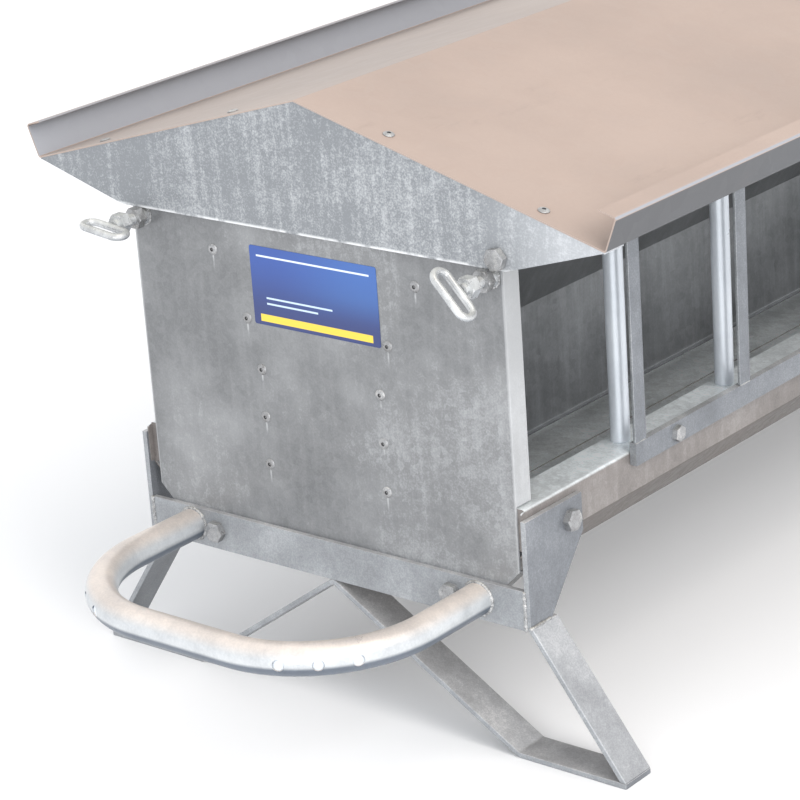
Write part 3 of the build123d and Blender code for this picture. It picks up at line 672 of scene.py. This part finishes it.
def turnedForm(name, rings, around, wave=None):
    # a closed form turned about Z from (radius, height) rings; wave gives the radius its corners
    form = bmesh.new()
    layers = []
    for radius, height in rings:
        layer = []
        for k in range(around):
            angle = math.tau * k / around
            reach, lift = (radius, height) if wave is None else wave(radius, height, angle)
            layer.append(form.verts.new((reach * math.cos(angle), reach * math.sin(angle), lift)))
        layers.append(layer)
    for lower, upper in zip(layers, layers[1:]):
        for k in range(around):
            after = (k + 1) % around
            form.faces.new((lower[k], lower[after], upper[after], upper[k]))
    form.faces.new(layers[-1])
    form.faces.new(layers[0][::-1])
    hub = form.verts.layers.float.new("hub")
    widest = max(radius for radius, height in rings)
    for vert in form.verts:
        vert[hub] = math.hypot(vert.co.x, vert.co.y) / widest if vert.co.z > 0 else 1.0
    mesh = bpy.data.meshes.new(name)
    form.to_mesh(mesh)
    form.free()
    mesh.shade_smooth()
    mesh.set_sharp_from_angle(angle=math.radians(38))
    holder = bpy.data.objects.new(name, mesh)
    scene.collection.objects.link(holder)
    holder.hide_render = True
    return holder


def setOut(name, form, material, seats, replaced, seed=1, turn=0.0):
    values = {"Form": form, "Finish": material, "Size": 1.0, "Turn": turn, "Seed": seed}
    mesh = runTree(seatMesh(seats), formsOnSeats, values)
    return newPiece(name, mesh, material, bodyOf(replaced[0]), replaced)


# blind rivets: a domed flange with a dished middle, and the set end behind the sheet
rivet = {
    "flange": 5.0, "dome": 1.55, "domeFrom": 8, "domeSweep": 62, "domeSteps": 8, "around": 20,
    "pin": 1.45, "dish": [(1.0, 0.86), (0.9, 0.3), (0.5, 0.3), (0.4, 0.55)], "tip": (0.05, 0.6),
    "body": 2.35, "grip": 3.0, "bulb": 3.2, "bulbDrop": 1.2, "tail": 4.0, "tailTip": 0.4, "tailEase": (0.8, 0.5),
    "headHeight": 1.6, "roofSlope": 15.5, "roofSeat": 2.56,
}


def rivetForm():
    grip, dome, pin = -rivet["grip"], rivet["dome"], rivet["pin"]
    tail = grip - rivet["tail"]
    easeShare, easeHeight = rivet["tailEase"]
    rings = [(rivet["tailTip"], tail), (rivet["bulb"] * easeShare, tail + easeHeight)]
    rings += [(rivet["bulb"], grip - rivet["bulbDrop"]), (rivet["body"], grip), (rivet["body"], 0.0)]
    rings += [(rivet["flange"], 0.0)]
    for k in range(rivet["domeSteps"] + 1):
        angle = math.radians(rivet["domeFrom"] + rivet["domeSweep"] * k / rivet["domeSteps"])
        rings.append((rivet["flange"] * math.cos(angle), dome * math.sin(angle)))
    rings += [(pin * across, dome * up) for across, up in rivet["dish"]]
    rings += [(rivet["tip"][0], dome * rivet["tip"][1])]
    return turnedForm("rivetForm", [(r * mm, z * mm) for r, z in rings], rivet["around"])


# hexagon bolts with a chamfered head and a thread; the last four are shank lengths
bolts = {
    "m10": {"flats": 17.0, "head": 6.4, "thread": 5.0, "pitch": 1.5},
    "m8": {"flats": 13.0, "head": 5.3, "thread": 4.0, "pitch": 1.25},
    "threadDepth": 0.35, "tipInset": 1.0, "runOut": 0.5, "chamfer": 0.46, "chamferFrom": 0.9, "around": 36,
    "washer": 0.001, "sideRings": (0.5, 0.99), "crown": 0.93, "dish": (0.55, 0.12), "middle": (0.1, 0.16),
    "long": 20.0, "short": 18.0, "guide": 16.0, "lock": 6.4,
}


def boltForm(name, size, length):
    half, head, thread = size["flats"] / 2, size["head"], size["thread"]
    rings = [(thread - bolts["tipInset"], -length)]
    turns = int((length - bolts["tipInset"]) / size["pitch"])
    for k in range(turns):
        low = -length + bolts["runOut"] + k * size["pitch"]
        rings += [(thread - bolts["threadDepth"], low), (thread, low + size["pitch"] / 2)]
    rings += [(thread, 0.0), (half, bolts["washer"])]
    rings += [(half, head * share) for share in bolts["sideRings"]]
    dishShare, dishDepth = bolts["dish"]
    middleRadius, middleDepth = bolts["middle"]
    rings += [(half * bolts["crown"], head), (half * dishShare, head - dishDepth)]
    rings += [(middleRadius, head - middleDepth)]

    def corners(radius, height, angle):
        # rings as wide as the flats run out to a hexagon, and fall away at the top corners
        if abs(radius - half * mm) > 1e-6:
            return radius, height
        reach = radius / math.cos(math.remainder(angle, math.pi / 3))
        atTop = height > head * bolts["chamferFrom"] * mm
        drop = (reach - bolts["crown"] * radius) * bolts["chamfer"] if atTop else 0.0
        return reach, height - drop

    return turnedForm(name, [(r * mm, z * mm) for r, z in rings], bolts["around"], corners)


def facingSeat(low, high, axis, depth):
    # the seat under a head that stands outwards along an axis of the feeder
    middle = (low + high) / 2
    outward = 1 if middle[axis] > 0 else -1
    facing = Vector((0, 0, 0))
    facing[axis] = outward
    place = middle.copy()
    place[axis] = (high[axis] if outward > 0 else low[axis]) - outward * depth * mm
    return place, facing


def longAxis(low, high):
    size = high - low
    return max(range(3), key=lambda i: size[i])


rivetShape = rivetForm()
panelSeats = [facingSeat(low, high, 1, rivet["headHeight"]) for low, high in islands("panel_rivets")]
setOut("panel_rivets.domed", rivetShape, zincRivet, panelSeats, ["panel_rivets"], 3, math.tau)
roofSlope = math.radians(rivet["roofSlope"])
roofSeats = []
for low, high in islands("roof_rivets"):
    middle = (low + high) / 2
    normal = Vector((math.copysign(math.sin(roofSlope), middle.x), 0, math.cos(roofSlope)))
    roofSeats.append((middle + normal * rivet["roofSeat"] * mm, normal))
setOut("roof_rivets.domed", rivetShape, zincRivet, roofSeats, ["roof_rivets"], 5, math.tau)

longBolt = boltForm("longBolt", bolts["m10"], bolts["long"])
shortBolt = boltForm("shortBolt", bolts["m10"], bolts["short"])
frameHead = bolts["m10"]["head"]
frameSeats = [(low, high, longAxis(low, high)) for low, high in islands("frame_bolts")]
acrossSeats = [facingSeat(low, high, axis, frameHead) for low, high, axis in frameSeats if axis == 1]
sideSeats = [facingSeat(low, high, axis, frameHead) for low, high, axis in frameSeats if axis == 0]
setOut("frame_bolts.across", longBolt, zincFastener, acrossSeats, ["frame_bolts"], 7, math.tau)
setOut("frame_bolts.side", shortBolt, zincFastener, sideSeats, ["frame_bolts"], 9, math.tau)
hingeSeats = [facingSeat(low, high, 1, frameHead) for low, high in islands("hinge_bolts")]
setOut("hinge_bolts.hex", longBolt, zincFastener, hingeSeats, ["hinge_bolts"], 11, math.tau)
guideBolt = boltForm("guideBolt", bolts["m8"], bolts["guide"])
lockBolt = boltForm("lockBolt", bolts["m8"], bolts["lock"])
for side in sides:
    for kind, form in (("guide", guideBolt), ("lock", lockBolt)):
        node = f"comb_{kind}_bolts_{side}"
        seats = [facingSeat(low, high, 0, bolts["m8"]["head"]) for low, high in islands(node)]
        setOut(node + ".hex", form, zincFastener, seats, [node], 13, math.tau)

# shallow plugs in the handle bends, as rings of radius and height
plug = {"rings": [(2.0, -2.4), (4.9, -2.3), (4.95, -1.7), (4.4, -1.3), (2.2, -0.85), (0.1, -0.8)], "around": 28}
handle = {"tubeRadius": 14.0, "bendRadius": 124.0}
handleBox = {end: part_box("handle_" + end) for end in ends}
plugShape = turnedForm("plugShape", [(r * mm, z * mm) for r, z in plug["rings"]], plug["around"])
bendRadius = handle["bendRadius"] * mm
plugSeats = []
for low, high in islands("handle_plugs"):
    middle = (low + high) / 2
    end = "near" if middle.y < 0 else "far"
    reach = handleBox[end][0].y if end == "near" else handleBox[end][1].y
    bendX = math.copysign(handleBox[end][1].x - bendRadius, middle.x)
    centre = Vector((bendX, reach - ends[end] * bendRadius, middle.z))
    outward = (middle - centre).normalized()
    plugSeats.append((centre + outward * bendRadius, outward))
setOut("handle_plugs.dished", plugShape, roundBar, plugSeats, ["handle_plugs"])
for form in (rivetShape, longBolt, shortBolt, guideBolt, lockBolt, plugShape):
    bpy.data.objects.remove(form)
print("fasteners set out")


# weld beads: radii of the beads, then where they run
bead = {
    "handle": 2.0, "frame": 1.8, "boss": 1.3, "comb": 1.0,
    "step": 1.5, "flatness": 0.8, "least": 0.78, "most": 1.2, "ringSteps": 48,
    "handleRing": 14.2, "bossRing": 8.2, "endGap": 1.5, "bracketOut": 5.5, "bracketRun": 20.0,
    "strutX": 198.0, "legHalf": 9.0, "combInset": 0.6,
}


def ringPath(x, y, z, radius):
    count = bead["ringSteps"]
    return [(x + radius * math.cos(math.tau * k / count), y, z + radius * math.sin(math.tau * k / count))
            for k in range(count + 1)]


def beadPiece(name, paths, body, radius, seed):
    verts = []
    edges = []
    for path in paths:
        start = len(verts)
        verts += [Vector(place) for place in path]
        edges += [(start + k, start + k + 1) for k in range(len(path) - 1)]
    mesh = bpy.data.meshes.new("paths")
    mesh.from_pydata(verts, edges, [])
    values = {"Finish": weldMetal, "Radius": radius * mm, "Step": bead["step"] * mm,
              "Flatness": bead["flatness"], "Least": bead["least"], "Most": bead["most"], "Seed": seed}
    return newPiece(name, runTree(mesh, weldBead, values), weldMetal, body)


endGap = bead["endGap"] * mm
for seed, (end, sign) in enumerate(ends.items()):
    barLow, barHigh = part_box("crossbar_" + end)
    front, back = (barLow.y, barHigh.y) if sign < 0 else (barHigh.y, barLow.y)
    tubeLow, tubeHigh = handleBox[end]
    rootX = tubeHigh.x - handle["tubeRadius"] * mm
    rootZ = (tubeLow.z + tubeHigh.z) / 2
    paths = [ringPath(side * rootX, front, rootZ, bead["handleRing"] * mm) for side in (-1, 1)]
    beadPiece("handleWelds." + end, paths, bodyOf("crossbar_" + end), bead["handle"], 21 + seed)
    # the bar's ends, the right bracket's foot, the left strut's root and the middle of the leg
    paths = [[(side * barHigh.x, front, barLow.z + endGap), (side * barHigh.x, front, barHigh.z - endGap)]
             for side in (-1, 1)]
    footX = barHigh.x + bead["bracketOut"] * mm
    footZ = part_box(f"side_bracket_{end}_right")[0].z
    paths.append([(footX, front, footZ), (footX, back - sign * bead["bracketRun"] * mm, footZ)])
    paths.append([(-bead["strutX"] * mm, front, barLow.z), (-bead["strutX"] * mm, back, barLow.z)])
    paths.append([(-bead["legHalf"] * mm, back, barLow.z), (bead["legHalf"] * mm, back, barLow.z)])
    beadPiece("frameWelds." + end, paths, bodyOf("crossbar_" + end), bead["frame"], 31 + seed)
bossPaths = []
for low, high in islands("weld_bosses"):
    middle = (low + high) / 2
    panelY = math.copysign(min(abs(low.y), abs(high.y)), low.y)
    bossPaths.append(ringPath(middle.x, panelY, middle.z, bead["bossRing"] * mm))
beadPiece("bossWelds", bossPaths, bodyOf("weld_bosses"), bead["boss"], 41)
for seed, (side, sign) in enumerate(sides.items()):
    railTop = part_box("comb_lower_rail_" + side)[1].z
    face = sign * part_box("comb_lower_rail_right")[1].x - sign * bead["combInset"] * mm
    paths = [[(face, low.y + endGap, railTop), (face, high.y - endGap, railTop)]
             for low, high in islands("comb_bars_" + side)]
    beadPiece("combWelds." + side, paths, bodyOf("comb_bars_" + side), bead["comb"], 51 + seed)
print("welds laid")


# the label's film, with rounded corners
def makeLabel():
    low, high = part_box("label_plate")
    radius = labelLook["corner"] * mm
    corners = [(high.x - radius, high.z - radius), (low.x + radius, high.z - radius),
               (low.x + radius, low.z + radius), (high.x - radius, low.z + radius)]
    form = bmesh.new()
    rim = []
    for quarter, (cornerX, cornerZ) in enumerate(corners):
        for k in range(labelLook["cornerSteps"] + 1):
            angle = math.radians(90 * (quarter + k / labelLook["cornerSteps"]))
            place = (cornerX + radius * math.cos(angle), high.y, cornerZ + radius * math.sin(angle))
            rim.append(form.verts.new(place))
    face = form.faces.new(rim)
    raised = bmesh.ops.extrude_face_region(form, geom=[face])
    moved = [item for item in raised["geom"] if isinstance(item, bmesh.types.BMVert)]
    bmesh.ops.translate(form, vec=(0, -labelLook["proud"] * mm, 0), verts=moved)
    bmesh.ops.recalc_face_normals(form, faces=form.faces)
    mesh = bpy.data.meshes.new("label")
    form.to_mesh(mesh)
    form.free()
    newPiece("label.film", mesh, labelFilm, bodyOf("label_plate"), ["label_plate"])


makeLabel()
print("label made")


# a white floor
def makeFloor():
    half = studio["floorSize"] / 2
    mesh = bpy.data.meshes.new("floor")
    corners = [(-half, -half, 0), (half, -half, 0), (half, half, 0), (-half, half, 0)]
    mesh.from_pydata(corners, [], [(0, 1, 2, 3)])
    material, graph = newMaterial("floorPaper")
    finishMaterial(graph, studio["floorTone"], studio["floorRough"], 0.0)
    mesh.materials.append(material)
    floor = bpy.data.objects.new("floor", mesh)
    scene.collection.objects.link(floor)


makeFloor()
